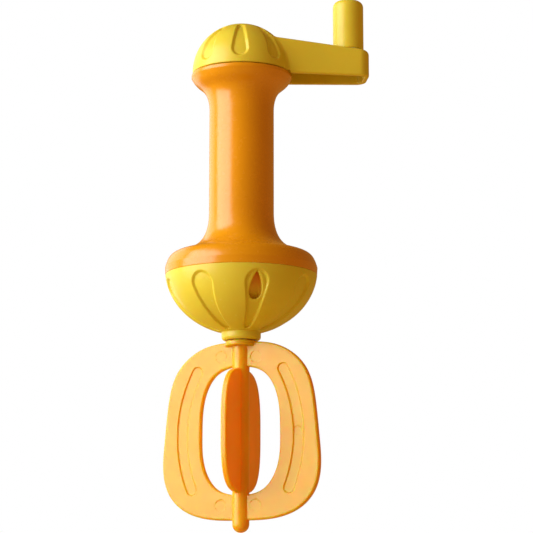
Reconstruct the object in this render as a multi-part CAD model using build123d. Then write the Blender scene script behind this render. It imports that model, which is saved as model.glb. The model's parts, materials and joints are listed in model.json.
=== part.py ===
from build123d import *
import os
from math import acos, atan, cos, degrees, pi, radians, sin, tan

# Hand-cranked toy whisk. The origin is on the turning axis, half-way down the grip, and +Z points at the
# crank. From top to bottom: a domed crank with a side arm and a knob, a waisted handle tube, a bowl that
# hides a planetary step-up gear, a collar, and the whisk, whose ring blade lies in the XZ plane. The crank
# turns the planet carrier, the ring gear is fixed, and the sun gear turns the whisk.
# Sizes are in millimetres.

# ---- walls, fits and fasteners ------------------------------------------------------------------------
WALL = 2.2                      # wall of the large plastic mouldings
RUNNING = 0.06                  # radial clearance of a turning fit
END_PLAY = 0.3                  # axial gap beside a turning face
SHIM_GAP = 0.1                  # axial gap beside a washer
SNAP_GAP = 0.2                  # clearance round the knob's clip
OVERCUT = 1.0                   # how far a cutting shape runs past the face it opens
CUT_REACH = 200.0               # longer than anything that is cut off
BUSH_WALL = 2.0
PIN_RADIUS = 1.5                # planet pins
SCREW_RADIUS = 1.3
SCREW_HEAD_RADIUS = 2.4
SCREW_HEAD = 1.4
SOCKET_RADIUS = 0.9             # round drive socket in a screw's head
SOCKET_DEPTH = 0.8

# ---- handle -------------------------------------------------------------------------------------------
GRIP_RADIUS = 15.65             # straight cylinder that the hand holds
GRIP_TOP = 25.0
GRIP_BOTTOM = -25.0
TOP_RIM_Z = 43.2                # upper rim of the handle
TOP_RIM_RADIUS = 24.5
SEAM_Z = -55.9                  # joint between the handle and the bowl
SEAM_DRAW = 0.2                 # the handle's lower edge draws in by this much
BOWL_RADIUS = 36.6
UPPER_FLARE = [                 # radius and height of the outer profile
    (GRIP_RADIUS, GRIP_TOP),
    (16.4, 31.0),
    (18.4, 35.0),
    (22.4, 38.6),
    (TOP_RIM_RADIUS, 41.6),
]
LOWER_FLARE = [
    (GRIP_RADIUS, GRIP_BOTTOM),
    (16.7, -33.6),
    (19.4, -39.1),
    (22.6, -42.0),
    (28.0, -44.3),
    (33.6, -46.5),
    (BOWL_RADIUS, -52.5),
]
PLATE_SEAT_Z = 40.0             # ledge that carries the top bearing plate
PLATE_RADIUS = 22.2
PLATE = 2.0
THRUST_WASHER_RADIUS = 9.0
THRUST_WASHER = 0.5
UPPER_BUSH_BOTTOM_Z = 31.5
UPPER_BUSH_FLANGE = 0.8

# ---- crank --------------------------------------------------------------------------------------------
DOME_RADIUS = 24.0              # half a ball on a short straight skirt
DOME_BASE_Z = 43.65
DOME_SKIRT = 1.0
CRANK_ANGLE = 29.0              # the rest direction of the crank arm, from +X
ARM_LENGTH = 52.6               # turning axis to knob axis
ARM_ROOT_HALF_WIDTH = 13.5
ARM_END_HALF_WIDTH = 9.6
ARM_END_REACH = 9.5             # knob axis to the arm's flat end
ARM_CORNER = 5.0                # upright corners of the arm's end
ARM_TOP_AT_DOME = 60.0          # height of the arm's sloping top where it leaves the dome
ARM_TOP_AT_KNOB = 56.5
ARM_EXIT_RADIUS = 17.6          # distance from the axis where the arm's top leaves the dome
ARM_BOTTOM_Z = 42.25            # the arm hangs below the dome's base
ARM_WALL = 2.4
ARM_TOP_ROUND = 2.0
ARM_FOOT_ROUND = 0.8
RIM_CLEAR_RADIUS = 25.3         # inside this radius the arm stops at the dome's base, over the handle's rim
BOSS_RADIUS = 2.9               # screw bosses in the dome and in the bowl
FLANGE_SCREW_ORBIT = 9.5
FLANGE_SCREW_ANGLES = [60, 180, 300]
FLANGE_SCREW_TIP_Z = 58.0

PANEL_COUNT = 8                 # decorative dished panels round the dome and round the bowl
PANEL_DEPTH = 1.0
DOME_PANEL_PHASE = -67.4        # direction of one dome panel, from +X, with the crank at rest
DOME_PANEL_ELEVATION = 35.0     # direction of each panel's middle, above the dome's base
DOME_PANEL_TOP = (2.2, 9.0)     # radius and place of the panel's narrow end, in its tangent plane
DOME_PANEL_FOOT = (4.5, -7.8)   # radius and place of its wide end
ARM_PANEL = 2                   # this panel is left out, because the arm is there

KNOB_RADIUS = 7.5
KNOB_TOP_Z = 82.0
KNOB_TOP_ROUND = 3.0
KNOB_STEP = 0.5                 # gap for the washer under the knob
KNOB_PAD_RADIUS = 8.6           # flat seat on the arm, wide enough for a sleeve around the knob
KNOB_BORE_TOP_Z = 76.0
KNOB_PIN_RADIUS = 3.5
KNOB_PIN_TOP_Z = 75.2
PIN_FLANGE_RADIUS = 6.0
PIN_FLANGE = 1.8
PIN_SEAT_WALL = 1.6             # thickness of the arm between the pin's flange and the knob's seat
BARB_RADIUS = 4.1               # the pin's barb, which the knob clips over
BARB_TIP_RADIUS = 2.5
BARB_Z = 72.4

# ---- bowl ---------------------------------------------------------------------------------------------
BOWL_DEPTH = 31.6               # the bowl is half an ellipsoid of this depth
BOWL_CENTRE_Z = -53.0
BOWL_PANEL_PHASE = -52.8        # direction of a pocketed bowl panel, from +X
BOWL_PANEL_TOP = (6.0, -64.3)   # radius and height of the panel's wide round end
BOWL_PANEL_FOOT = (2.6, -80.8)  # radius and height of its narrow round end
POCKET_HALF_WIDTH = 3.0         # seed-shaped blind pockets in two opposite panels
POCKET_WIDEST_Z = -68.6
POCKET_TIP_Z = -59.3
POCKET_DEPTH = 4.0
POCKET_WALL = 1.4
SPIGOT_HEIGHT = 2.9             # the bowl's rim that plugs into the handle
SPIGOT_OUTER = 34.5
SPIGOT_INNER = 32.3
COLLAR_RADIUS = 9.4
COLLAR_BOTTOM_Z = -87.5
COLLAR_CHAMFER = 1.0
BUSH_SEAT_TOP_Z = -76.1         # the collar goes on inside the bowl up to here
NECK_BUSH_TOP_Z = -75.8
NECK_BUSH_LIFT = 0.2            # the neck bush stops this far above the collar's lower face

# ---- gears and carrier --------------------------------------------------------------------------------
MODULE = 1.125                  # gear tooth size
DEDENDUM = 1.25 * MODULE
PRESSURE_ANGLE = radians(25.0)
SUN_TEETH = 12
PLANET_TEETH = 15
RING_TEETH = SUN_TEETH + 2 * PLANET_TEETH
PLANET_COUNT = 3
PLANET_PHASE = 15.0             # direction of the first planet, from +X
TOOTH_THINNING = 0.12           # backlash taken from each tooth, along the pitch circle
FLANK_POINTS = 5
PLANET_ORBIT = MODULE * (SUN_TEETH + PLANET_TEETH) / 2

LID_RADIUS = 32.2
LID_TOP_Z = -52.6
LID_BOTTOM_Z = -54.6
RING_BOTTOM_Z = -63.6
RING_OUTER_RADIUS = 27.6
LUG_ORBIT = 28.6                # screw lugs of the ring gear, with bosses under them
LUG_RADIUS = 3.0
LUG_ANGLES = [BOWL_PANEL_PHASE + 45.0 * step for step in (0.5, 3.5, 5.5)]
HOUSING_SCREW_TIP_Z = -70.0

CARRIER_RADIUS = 21.5
CARRIER_TOP_Z = -55.0
CARRIER_PLATE = 2.0
CARRIER_FLOOR_Z = -65.4
CARRIER_EYE_RADIUS = 8.4
PLANET_TOP_Z = -57.2
PLANET_BOTTOM_Z = -63.2
POST_RADIUS = 2.4               # posts between the two carrier plates
POST_SCREW_TIP_Z = -58.0
HUB_RADIUS = 6.5                # carrier hub, which turns in the lower bush
HUB_TOP_Z = -45.6

SHAFT_RADIUS = 4.0
SHAFT_FLAT = 3.3                # distance of each drive flat from the axis
SHAFT_BOTTOM_Z = -54.4
SHAFT_SCREW_TIP_Z = -47.0
SHAFT_FLANGE_RADIUS = 13.0
SHAFT_FLANGE_TOP_Z = 51.0
SHAFT_FLANGE = 2.5

# ---- whisk --------------------------------------------------------------------------------------------
TIP_Z = -178.45                 # lowest point of the whisk
WHISK_SHAFT_RADIUS = 4.05
WHISK_FLANGE_RADIUS = 7.6
WHISK_FLANGE_TOP_Z = -87.8
WHISK_FLANGE_BOTTOM_Z = -90.2
BLADE_THICKNESS = 3.2
RING_OUTLINE = [                # half-width and height of the ring blade's outer edge
    (0, -88.2),
    (19.0, -90.3),
    (33.3, -101.5),
    (38.3, -118.7),
    (40.0, -135.0),
    (40.5, -149.5),
    (37.9, -159.0),
    (32.2, -165.9),
    (17.8, -171.8),
    (0, -172.7),
]
OPENING_OUTLINE = [             # the same for the opening inside it
    (0, -100.0),
    (12.2, -103.2),
    (18.9, -114.0),
    (20.6, -131.0),
    (18.8, -148.4),
    (11.8, -158.2),
    (0, -160.8),
]
GROOVE_ARC = [(22.3, -101.9), (30.2, -135.0), (25.2, -157.9)]
GROOVE_WIDTH = 5.8
GROOVE_DEPTH = 0.5
LEAF_HALF_WIDTH = 19.8
LEAF_HALF_HEIGHT = 29.4
LEAF_CENTRE_Z = -130.5
LEAF_SQUARENESS = 3.1           # exponent of the leaf's super-ellipse
LEAF_STEPS = 32

JOURNAL_RADIUS = 5.2            # the part of the whisk that turns in the collar
JOURNAL_TOP_Z = -73.6
STUB_RADIUS = 3.6               # flatted end that carries the sun gear
STUB_FLAT = 2.9
SUN_TOP_Z = -59.2
SUN_SLEEVE_RADIUS = 5.3
CLIP_RADIUS = 8.0               # spring clip that keeps the whisk in the collar
CLIP_GROOVE_RADIUS = 4.4
CLIP_BOTTOM_Z = -75.5
CLIP = 0.8
CLIP_MOUTH = 7.0

# ---- sizes that follow from those above ---------------------------------------------------------------
DOME_CENTRE_Z = DOME_BASE_Z + DOME_SKIRT
PLATE_TOP_Z = PLATE_SEAT_Z + PLATE
WASHER_BOTTOM_Z = PLATE_TOP_Z + UPPER_BUSH_FLANGE
SHOULDER_Z = WASHER_BOTTOM_Z + THRUST_WASHER + SHIM_GAP
UPPER_BUSH_RADIUS = SHAFT_RADIUS + RUNNING + BUSH_WALL
LOWER_BUSH_RADIUS = HUB_RADIUS + RUNNING + BUSH_WALL
LOWER_BUSH_TOP_Z = HUB_TOP_Z - END_PLAY
NECK_BUSH_RADIUS = JOURNAL_RADIUS + RUNNING + BUSH_WALL
CARRIER_PLATE_Z = CARRIER_TOP_Z - CARRIER_PLATE
FLOOR_TOP_Z = CARRIER_FLOOR_Z + CARRIER_PLATE
KNOB_BOTTOM_Z = ARM_TOP_AT_KNOB + KNOB_STEP
PIN_FLANGE_TOP_Z = ARM_TOP_AT_KNOB - PIN_SEAT_WALL
PLANET_ANGLES = [PLANET_PHASE + 360.0 * index / PLANET_COUNT for index in range(PLANET_COUNT)]
POST_ANGLES = [angle + 180.0 / PLANET_COUNT for angle in PLANET_ANGLES]


# ---- small shapes -------------------------------------------------------------------------------------
def rod(radius, bottom, top, x=0.0, y=0.0):
    """Upright cylinder between two heights."""
    return Pos(x, y, bottom) * extrude(Circle(radius), top - bottom)


def tube(outer, inner, bottom, top, x=0.0, y=0.0):
    """Upright hollow cylinder between two heights."""
    return rod(outer, bottom, top, x, y) - rod(inner, bottom - OVERCUT, top + OVERCUT, x, y)


def rods(radius, bottom, top, orbit, angles):
    """Equal upright cylinders round the main axis."""
    return [rod(radius, bottom, top, *polar(orbit, angle)) for angle in angles]


def flatted_rod(radius, flat, bottom, top):
    """Cylinder with two drive flats, facing +X and -X."""
    block = Pos(0, 0, (bottom + top) / 2) * Box(2 * flat, 2 * radius + OVERCUT, top - bottom)
    return rod(radius, bottom, top) & block


def turned(*edges):
    """Solid of revolution from edges in the XZ plane that start and end on the axis."""
    first = edges[0] @ 0
    last = edges[-1] @ 1
    outline = Wire([*edges, Line(last, first)])
    return revolve(make_face(outline), Axis.Z)


def polar(radius, angle):
    """Point at a radius and an angle in degrees."""
    return radius * cos(radians(angle)), radius * sin(radians(angle))


def inset(points, wall):
    """Move profile points inwards by the wall, along the normal at each point."""
    moved = []
    for index, (radius, height) in enumerate(points):
        before = points[max(index - 1, 0)]
        after = points[min(index + 1, len(points) - 1)]
        along = Vector(after[0] - before[0], 0, after[1] - before[1]).normalized()
        moved.append((radius + along.Z * wall, height - along.X * wall))
    return moved


def section(points):
    """Smooth profile edge in the XZ plane through (radius, height) points."""
    return Spline(*[(radius, 0, height) for radius, height in points])


def outward(sketch, angle):
    """Extrude a sketch drawn in (tangent, height) outwards from the axis in the direction of the angle."""
    across = (-sin(radians(angle)), cos(radians(angle)), 0)
    facing = (cos(radians(angle)), sin(radians(angle)), 0)
    return extrude(Plane(origin=(0, 0, 0), x_dir=across, z_dir=facing) * sketch, CUT_REACH)


def two_circle_hull(first, second):
    """Sketch of the outline that two circles, each a radius and a height, share."""
    edges = (Pos(0, first[1]) * Circle(first[0])).edges() + (Pos(0, second[1]) * Circle(second[0])).edges()
    return make_hull(edges)


def screw(head_z, tip_z, x, y):
    """Screw with a round drive socket, from the outer face of its head to its tip, upwards or downwards."""
    length = abs(head_z - tip_z)
    body = rod(SCREW_HEAD_RADIUS, -SCREW_HEAD, 0) + rod(SCREW_RADIUS, -length, -SCREW_HEAD)
    body -= rod(SOCKET_RADIUS, -SOCKET_DEPTH, OVERCUT)
    if tip_z > head_z:
        body = Rot(180, 0, 0) * body
    return Pos(x, y, head_z) * body


def screws(head_z, tip_z, orbit, angles):
    """Equal screws round the main axis."""
    return [screw(head_z, tip_z, *polar(orbit, angle)) for angle in angles]


# ---- gear teeth ---------------------------------------------------------------------------------------
def involute(angle):
    """Polar angle of an involute where its pressure angle is this."""
    return tan(angle) - angle


def gear_face(teeth, addendum, dedendum, thinning):
    """Involute gear outline with a tooth on +X. Negative thinning gives the cutter of a ring gear."""
    pitch = MODULE * teeth / 2
    base = pitch * cos(PRESSURE_ANGLE)
    root = pitch - dedendum
    tip = pitch + addendum

    def half_angle(radius):
        roll = acos(min(1.0, base / radius))
        return pi / (2 * teeth) - thinning / (2 * pitch) + involute(PRESSURE_ANGLE) - involute(roll)

    start = max(base, root)
    radii = [start + (tip - start) * step / (FLANK_POINTS - 1) for step in range(FLANK_POINTS)]
    if root < base:
        radii.insert(0, root)
    flank = [(radius, half_angle(radius)) for radius in radii]
    points = []
    for tooth in range(teeth):
        centre = 2 * pi * tooth / teeth
        points += [(r * cos(centre - a), r * sin(centre - a)) for r, a in flank]
        points += [(r * cos(centre + a), r * sin(centre + a)) for r, a in reversed(flank)]
    return make_face(Polyline(*points, close=True))


def pinion(teeth, height):
    """External gear standing on the XY plane."""
    return extrude(gear_face(teeth, MODULE, DEDENDUM, TOOTH_THINNING), height)


# ---- handle and the parts fixed to it -----------------------------------------------------------------
def handle_body():
    """Waisted tube, flared at both ends."""
    foot = BOWL_RADIUS - SEAM_DRAW
    outer = turned(
        Line((0, 0, SEAM_Z), (foot, 0, SEAM_Z)),
        Line((foot, 0, SEAM_Z), (BOWL_RADIUS, 0, LOWER_FLARE[-1][1])),
        section(list(reversed(LOWER_FLARE))),
        Line((GRIP_RADIUS, 0, GRIP_BOTTOM), (GRIP_RADIUS, 0, GRIP_TOP)),
        section(UPPER_FLARE),
        Line((TOP_RIM_RADIUS, 0, UPPER_FLARE[-1][1]), (TOP_RIM_RADIUS, 0, TOP_RIM_Z)),
        Line((TOP_RIM_RADIUS, 0, TOP_RIM_Z), (0, 0, TOP_RIM_Z)),
    )
    upper = inset(UPPER_FLARE, -WALL)[:-1]
    lower = inset(LOWER_FLARE, WALL)
    mouth_z = SEAM_Z - OVERCUT
    bore = turned(
        Line((0, 0, mouth_z), (lower[-1][0], 0, mouth_z)),
        Line((lower[-1][0], 0, mouth_z), (lower[-1][0], 0, lower[-1][1])),
        section(list(reversed(lower))),
        Line((lower[0][0], 0, lower[0][1]), (upper[0][0], 0, upper[0][1])),
        section(upper),
        Line((upper[-1][0], 0, upper[-1][1]), (0, 0, upper[-1][1])),
    )
    return outer - bore - rod(PLATE_RADIUS, PLATE_SEAT_Z, TOP_RIM_Z + OVERCUT)


def top_bearing_plate():
    """Disc that closes the handle's upper flare and carries the upper bush."""
    plate = rod(PLATE_RADIUS, PLATE_SEAT_Z, PLATE_TOP_Z)
    plate += rod(UPPER_BUSH_RADIUS + BUSH_WALL, UPPER_BUSH_BOTTOM_Z, PLATE_SEAT_Z)
    return plate - rod(UPPER_BUSH_RADIUS, UPPER_BUSH_BOTTOM_Z - OVERCUT, TOP_RIM_Z)


def upper_bush():
    """Flanged sleeve round the top of the drive shaft."""
    bush = rod(UPPER_BUSH_RADIUS, UPPER_BUSH_BOTTOM_Z, PLATE_TOP_Z)
    bush += rod(THRUST_WASHER_RADIUS, PLATE_TOP_Z, WASHER_BOTTOM_Z)
    return bush - rod(SHAFT_RADIUS + RUNNING, UPPER_BUSH_BOTTOM_Z - OVERCUT, WASHER_BOTTOM_Z + OVERCUT)


def thrust_washer():
    """Loose washer that carries the crank's weight."""
    top = WASHER_BOTTOM_Z + THRUST_WASHER
    return tube(THRUST_WASHER_RADIUS, SHAFT_RADIUS + RUNNING, WASHER_BOTTOM_Z, top)


def gearbox_lid():
    """Disc over the gears, screwed down on the ring gear's lugs, with the lower bush in its middle."""
    lid = rod(LID_RADIUS, LID_BOTTOM_Z, LID_TOP_Z)
    lid += rod(LOWER_BUSH_RADIUS + BUSH_WALL, LID_TOP_Z, LOWER_BUSH_TOP_Z)
    lid -= rod(LOWER_BUSH_RADIUS, LID_BOTTOM_Z - OVERCUT, LOWER_BUSH_TOP_Z + OVERCUT)
    return lid - rods(SCREW_RADIUS, LID_BOTTOM_Z - OVERCUT, LID_TOP_Z + OVERCUT, LUG_ORBIT, LUG_ANGLES)


def lower_bush():
    """Sleeve round the carrier's hub."""
    return tube(LOWER_BUSH_RADIUS, HUB_RADIUS + RUNNING, LID_BOTTOM_Z, LOWER_BUSH_TOP_Z)


def ring_gear():
    """Fixed internal gear with three screw lugs. One tooth space faces each planet."""
    gear = rod(RING_OUTER_RADIUS, RING_BOTTOM_Z, LID_BOTTOM_Z)
    gear += rods(LUG_RADIUS, RING_BOTTOM_Z, LID_BOTTOM_Z, LUG_ORBIT, LUG_ANGLES)
    depth = LID_BOTTOM_Z - RING_BOTTOM_Z + 2 * OVERCUT
    cutter = extrude(gear_face(RING_TEETH, DEDENDUM, MODULE, -TOOTH_THINNING), depth)
    gear -= Pos(0, 0, RING_BOTTOM_Z - OVERCUT) * Rot(0, 0, PLANET_PHASE) * cutter
    return gear - rods(SCREW_RADIUS, RING_BOTTOM_Z - OVERCUT, LID_BOTTOM_Z + OVERCUT, LUG_ORBIT, LUG_ANGLES)


def housing_screws():
    """Three screws through the lid and the ring gear's lugs into the bowl's bosses."""
    return screws(LID_TOP_Z + SCREW_HEAD, HOUSING_SCREW_TIP_Z, LUG_ORBIT, LUG_ANGLES)


# ---- bowl ---------------------------------------------------------------------------------------------
def ellipsoid(inward=0.0):
    """The bowl's outer form, or the same form moved inwards."""
    radius = BOWL_RADIUS - inward
    depth = BOWL_DEPTH - inward
    profile = Ellipse(radius, depth) & Pos(radius / 2, -depth / 2) * Rectangle(radius, depth)
    solid = revolve(Plane.XZ * profile, Axis.Z)
    return Pos(0, 0, BOWL_CENTRE_Z) * solid


def pocket_outline(margin):
    """Seed shape in (tangent, height): a pointed arch over a half circle. The margin widens it."""
    side = POCKET_HALF_WIDTH + margin
    right = (side, POCKET_WIDEST_Z)
    left = (-side, POCKET_WIDEST_Z)
    tip = (0, POCKET_TIP_Z + margin)
    foot = (0, POCKET_WIDEST_Z - side)
    edges = [
        TangentArc(right, tip, tangent=(0, 1)),
        TangentArc(left, tip, tangent=(0, 1)),
        ThreePointArc(left, foot, right),
    ]
    return make_face(edges)


def bowl_housing():
    """Gear housing with eight dished panels, two of them pocketed, and the collar under it."""
    outer = ellipsoid()
    bowl = outer & rod(BOWL_RADIUS, BOWL_CENTRE_Z - BOWL_DEPTH, SEAM_Z)
    bowl += rod(COLLAR_RADIUS, COLLAR_BOTTOM_Z, BOWL_CENTRE_Z - BOWL_DEPTH + WALL)
    bowl = chamfer(bowl.edges().group_by(Axis.Z)[0], COLLAR_CHAMFER)
    panel = two_circle_hull(BOWL_PANEL_TOP, BOWL_PANEL_FOOT)
    skin = outer - ellipsoid(PANEL_DEPTH)
    for index in range(PANEL_COUNT):
        bowl -= outward(panel, BOWL_PANEL_PHASE + 360.0 * index / PANEL_COUNT) & skin
    bowl -= ellipsoid(WALL)
    bosses = rod(COLLAR_RADIUS, COLLAR_BOTTOM_Z + OVERCUT, BUSH_SEAT_TOP_Z)
    bosses += rods(BOSS_RADIUS, COLLAR_BOTTOM_Z, RING_BOTTOM_Z, LUG_ORBIT, LUG_ANGLES)
    bowl += bosses & ellipsoid(PANEL_DEPTH)
    bowl += tube(SPIGOT_OUTER, SPIGOT_INNER, SEAM_Z - SPIGOT_HEIGHT, SEAM_Z + SPIGOT_HEIGHT) & outer
    pad_skin = ellipsoid(PANEL_DEPTH) - ellipsoid(POCKET_DEPTH + POCKET_WALL)
    pocket_skin = outer - ellipsoid(POCKET_DEPTH)
    for angle in (BOWL_PANEL_PHASE, BOWL_PANEL_PHASE + 180.0):
        bowl += outward(pocket_outline(POCKET_WALL), angle) & pad_skin
        bowl -= outward(pocket_outline(0), angle) & pocket_skin
    bowl -= rods(SCREW_RADIUS, HOUSING_SCREW_TIP_Z, RING_BOTTOM_Z + OVERCUT, LUG_ORBIT, LUG_ANGLES)
    return bowl - rod(NECK_BUSH_RADIUS, COLLAR_BOTTOM_Z - OVERCUT, BUSH_SEAT_TOP_Z + OVERCUT)


def neck_bush():
    """Sleeve in the collar, round the whisk's journal."""
    return tube(NECK_BUSH_RADIUS, JOURNAL_RADIUS + RUNNING, COLLAR_BOTTOM_Z + NECK_BUSH_LIFT, NECK_BUSH_TOP_Z)


# ---- crank and the parts that turn with it, drawn with the arm along +X -------------------------------
def arm_solid(inward, bottom):
    """Tapered arm with rounded corners and a sloping top, or the same form moved inwards."""
    edges = Circle(ARM_ROOT_HALF_WIDTH - inward).edges()
    for side in (-1, 1):
        place = Pos(ARM_LENGTH + ARM_END_REACH - ARM_CORNER, side * (ARM_END_HALF_WIDTH - ARM_CORNER))
        edges += (place * Circle(ARM_CORNER - inward)).edges()
    arm = Pos(0, 0, bottom) * extrude(make_hull(edges), KNOB_TOP_Z - bottom)
    slope = degrees(atan((ARM_TOP_AT_DOME - ARM_TOP_AT_KNOB) / (ARM_LENGTH - ARM_EXIT_RADIUS)))
    above = Pos(0, 0, CUT_REACH / 2) * Box(CUT_REACH, CUT_REACH, CUT_REACH)
    return arm - Pos(ARM_LENGTH, 0, ARM_TOP_AT_KNOB - inward) * Rot(0, slope, 0) * above


def dome_form(radius):
    """Half a ball on the straight skirt, or the same form with a smaller radius."""
    upright = (Align.CENTER, Align.CENTER, Align.MIN)
    ball = Pos(0, 0, DOME_CENTRE_Z) * Sphere(radius, arc_size1=0, align=upright)
    return ball + rod(radius, DOME_BASE_Z, DOME_CENTRE_Z)


def dome_panel(index):
    """Prism that cuts one teardrop panel out of the dome's outer skin."""
    heading = radians(DOME_PANEL_PHASE - CRANK_ANGLE + 360.0 * index / PANEL_COUNT)
    rise = radians(DOME_PANEL_ELEVATION)
    facing = (cos(heading) * cos(rise), sin(heading) * cos(rise), sin(rise))
    plane = Plane(origin=(0, 0, DOME_CENTRE_Z), x_dir=(-sin(heading), cos(heading), 0), z_dir=facing)
    return extrude(plane * two_circle_hull(DOME_PANEL_TOP, DOME_PANEL_FOOT), CUT_REACH)


def crank():
    """Dome and hollow side arm in one moulding."""
    arm = arm_solid(0, ARM_BOTTOM_Z)
    arm = fillet(arm.faces().sort_by(Axis.Z)[-1].edges(), ARM_TOP_ROUND)
    arm = fillet(arm.faces().sort_by(Axis.Z)[0].edges(), ARM_FOOT_ROUND)
    arm -= rod(RIM_CLEAR_RADIUS, ARM_BOTTOM_Z - OVERCUT, DOME_BASE_Z)
    dome = dome_form(DOME_RADIUS)
    skin = dome - dome_form(DOME_RADIUS - PANEL_DEPTH)
    for index in range(PANEL_COUNT):
        if index != ARM_PANEL:
            dome -= dome_panel(index) & skin
    body = dome + arm - dome_form(DOME_RADIUS - WALL)
    cavity_z = ARM_BOTTOM_Z - OVERCUT
    inner_wall = DOME_RADIUS - WALL / 2
    body -= arm_solid(ARM_WALL, cavity_z) - rod(inner_wall, cavity_z - OVERCUT, KNOB_TOP_Z)
    for boss in rods(BOSS_RADIUS, SHAFT_FLANGE_TOP_Z, KNOB_TOP_Z, FLANGE_SCREW_ORBIT, FLANGE_SCREW_ANGLES):
        body += boss & dome_form(inner_wall)
    hole_z = SHAFT_FLANGE_TOP_Z - OVERCUT
    body -= rods(SCREW_RADIUS, hole_z, FLANGE_SCREW_TIP_Z, FLANGE_SCREW_ORBIT, FLANGE_SCREW_ANGLES)
    body -= rod(KNOB_PAD_RADIUS, ARM_TOP_AT_KNOB, KNOB_TOP_Z, ARM_LENGTH)
    body -= rod(PIN_FLANGE_RADIUS, DOME_BASE_Z, PIN_FLANGE_TOP_Z, ARM_LENGTH)
    return body - rod(KNOB_PIN_RADIUS, DOME_BASE_Z, KNOB_TOP_Z, ARM_LENGTH)


def crank_screws():
    """Three screws up through the shaft's flange into the dome's bosses."""
    head_z = SHAFT_FLANGE_TOP_Z - SHAFT_FLANGE - SCREW_HEAD
    return screws(head_z, FLANGE_SCREW_TIP_Z, FLANGE_SCREW_ORBIT, FLANGE_SCREW_ANGLES)


def drive_shaft():
    """Shaft down the handle, flanged at the crank and flatted where it drives the carrier."""
    shaft = flatted_rod(SHAFT_RADIUS, SHAFT_FLAT, SHAFT_BOTTOM_Z, HUB_TOP_Z)
    shaft += rod(SHAFT_RADIUS, HUB_TOP_Z, SHOULDER_Z)
    shaft += rod(HUB_RADIUS, SHOULDER_Z, SHAFT_FLANGE_TOP_Z)
    shaft += rod(SHAFT_FLANGE_RADIUS, SHAFT_FLANGE_TOP_Z - SHAFT_FLANGE, SHAFT_FLANGE_TOP_Z)
    top_z = SHAFT_FLANGE_TOP_Z + OVERCUT
    shaft -= rods(SCREW_RADIUS, SHOULDER_Z, top_z, FLANGE_SCREW_ORBIT, FLANGE_SCREW_ANGLES)
    return shaft - rod(SCREW_RADIUS, SHAFT_BOTTOM_Z - OVERCUT, SHAFT_SCREW_TIP_Z)


def shaft_screw():
    """Screw up through the carrier into the shaft's lower end."""
    return screw(CARRIER_PLATE_Z - SCREW_HEAD, SHAFT_SCREW_TIP_Z, 0, 0)


def planet_carrier():
    """Upper carrier plate with its hub and three posts."""
    carrier = rod(CARRIER_RADIUS, CARRIER_PLATE_Z, CARRIER_TOP_Z) + rod(HUB_RADIUS, CARRIER_TOP_Z, HUB_TOP_Z)
    carrier += rods(POST_RADIUS, FLOOR_TOP_Z, CARRIER_PLATE_Z, PLANET_ORBIT, POST_ANGLES)
    socket = flatted_rod(SHAFT_RADIUS, SHAFT_FLAT, SHAFT_BOTTOM_Z, HUB_TOP_Z + OVERCUT)
    carrier -= Rot(0, 0, CRANK_ANGLE) * socket
    bottom_z = CARRIER_PLATE_Z - OVERCUT
    carrier -= rod(SCREW_RADIUS, bottom_z, SHAFT_BOTTOM_Z + OVERCUT)
    carrier -= rods(PIN_RADIUS, bottom_z, CARRIER_TOP_Z + OVERCUT, PLANET_ORBIT, PLANET_ANGLES)
    return carrier - rods(SCREW_RADIUS, CARRIER_FLOOR_Z, POST_SCREW_TIP_Z, PLANET_ORBIT, POST_ANGLES)


def carrier_floor():
    """Lower carrier plate, open in the middle for the sun gear."""
    plate = tube(CARRIER_RADIUS, CARRIER_EYE_RADIUS, CARRIER_FLOOR_Z, FLOOR_TOP_Z)
    bottom_z = CARRIER_FLOOR_Z - OVERCUT
    plate -= rods(PIN_RADIUS, bottom_z, PLANET_TOP_Z, PLANET_ORBIT, PLANET_ANGLES)
    return plate - rods(SCREW_RADIUS, bottom_z, PLANET_TOP_Z, PLANET_ORBIT, POST_ANGLES)


def carrier_screws():
    """Three screws up through the lower plate into the posts."""
    return screws(CARRIER_FLOOR_Z - SCREW_HEAD, POST_SCREW_TIP_Z, PLANET_ORBIT, POST_ANGLES)


def planet_pins():
    """Three pins between the carrier plates."""
    return rods(PIN_RADIUS, CARRIER_FLOOR_Z, CARRIER_TOP_Z, PLANET_ORBIT, PLANET_ANGLES)


def planet_gear(angle):
    """Planet with one tooth pointing outwards into the ring gear."""
    height = PLANET_TOP_Z - PLANET_BOTTOM_Z
    gear = pinion(PLANET_TEETH, height) - rod(PIN_RADIUS + RUNNING, -OVERCUT, height + OVERCUT)
    x, y = polar(PLANET_ORBIT, angle)
    return Pos(x, y, PLANET_BOTTOM_Z) * Rot(0, 0, angle) * gear


def knob_pin():
    """Pin up through the arm, with a flange under the arm and a barb that holds the knob."""
    upright = (Align.CENTER, Align.CENTER, Align.MIN)
    flange_z = PIN_FLANGE_TOP_Z - PIN_FLANGE
    pin = rod(KNOB_PIN_RADIUS, flange_z, BARB_Z) + rod(PIN_FLANGE_RADIUS, flange_z, PIN_FLANGE_TOP_Z)
    pin += Pos(0, 0, BARB_Z) * Cone(BARB_RADIUS, BARB_TIP_RADIUS, KNOB_PIN_TOP_Z - BARB_Z, align=upright)
    return Pos(ARM_LENGTH) * pin


def knob_washer():
    """Thin washer between the arm and the knob."""
    outer = KNOB_RADIUS - KNOB_STEP
    return tube(outer, KNOB_PIN_RADIUS + RUNNING, ARM_TOP_AT_KNOB, KNOB_BOTTOM_Z - SHIM_GAP, ARM_LENGTH)


def crank_knob():
    """Round knob with a blind bore and a groove that clips over the pin's barb."""
    knob = rod(KNOB_RADIUS, KNOB_BOTTOM_Z, KNOB_TOP_Z)
    knob = fillet(knob.edges().group_by(Axis.Z)[-1], KNOB_TOP_ROUND)
    knob -= rod(KNOB_PIN_RADIUS + RUNNING, KNOB_BOTTOM_Z - OVERCUT, BARB_Z)
    knob -= rod(BARB_RADIUS + SNAP_GAP, BARB_Z - SNAP_GAP, KNOB_BORE_TOP_Z)
    return Pos(ARM_LENGTH) * knob


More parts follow.
